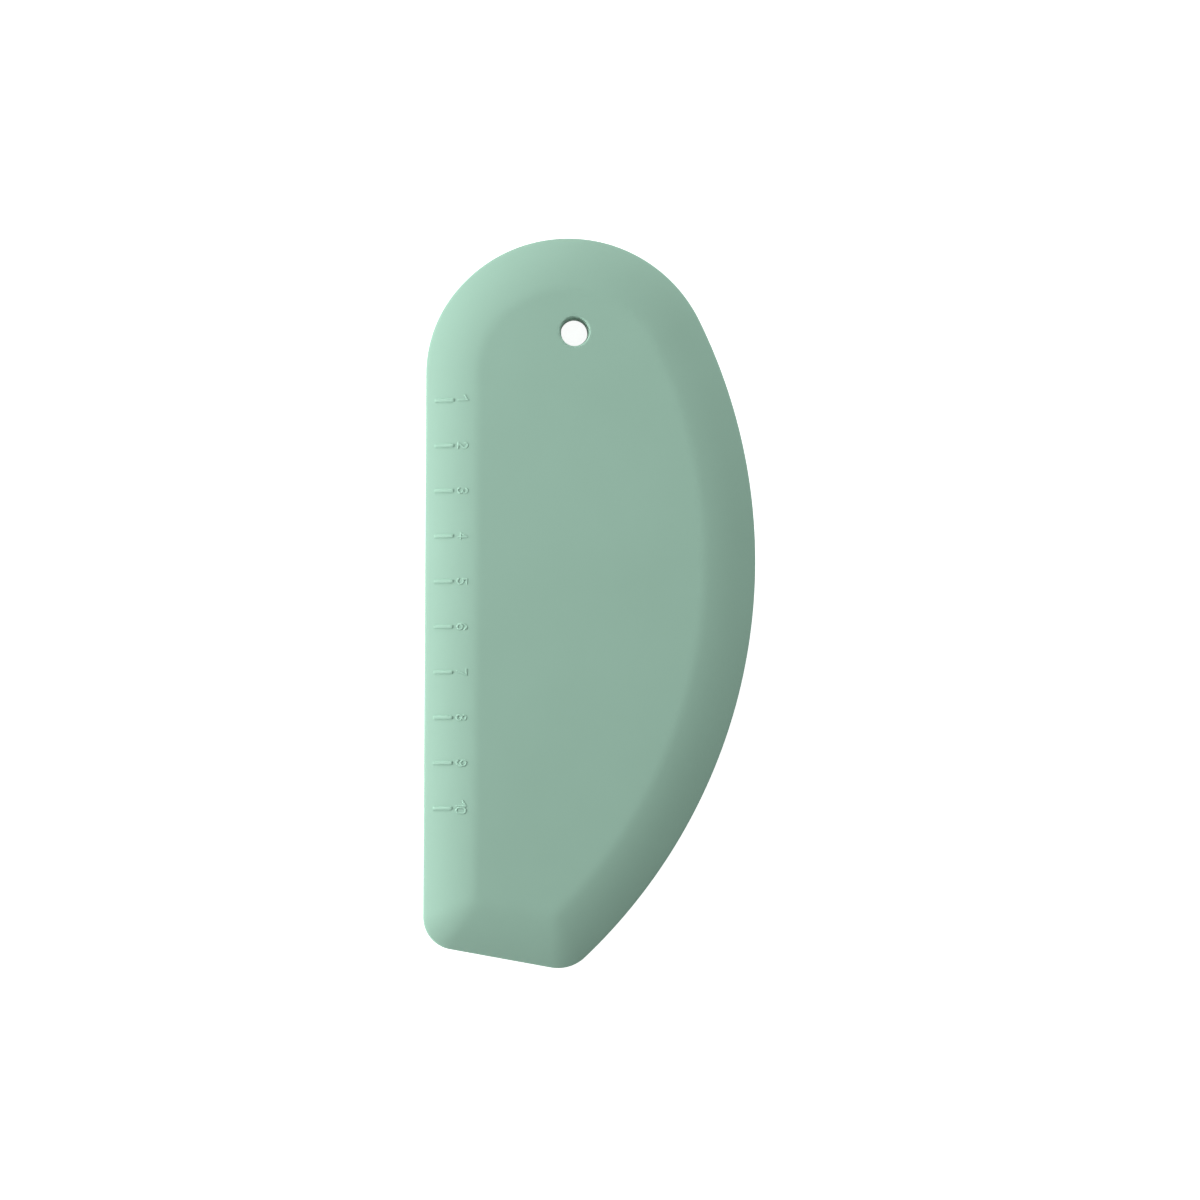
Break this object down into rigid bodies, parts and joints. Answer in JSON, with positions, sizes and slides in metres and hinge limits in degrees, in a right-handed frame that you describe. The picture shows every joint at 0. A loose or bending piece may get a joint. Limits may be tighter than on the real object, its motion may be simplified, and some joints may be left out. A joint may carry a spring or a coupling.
{
  "type": "bowl scraper",
  "caption": "Silicone bowl scraper with a stiff core plate, a straight edge with a raised centimetre scale, a rounded end, a slanted foot and a hang hole.",
  "frame": {"origin": "middle of the outline's box, on the flat back face that the scraper lies on", "axes": "+X across the scraper, away from the straight edge; +Y along the straight edge, towards the hang hole; +Z through the thickness, out of the face with the scale"},
  "size_m": [0.073, 0.1614, 0.007],
  "materials": {
    "silicone": "satin moulded silicone rubber, sage green",
    "core_nylon": "natural glass-filled nylon, matte"
  },
  "bodies": {
    "root": {"core_plate": "core_nylon", "front_silicone": "silicone", "back_silicone": "silicone"}
  },
  "joints": []
}
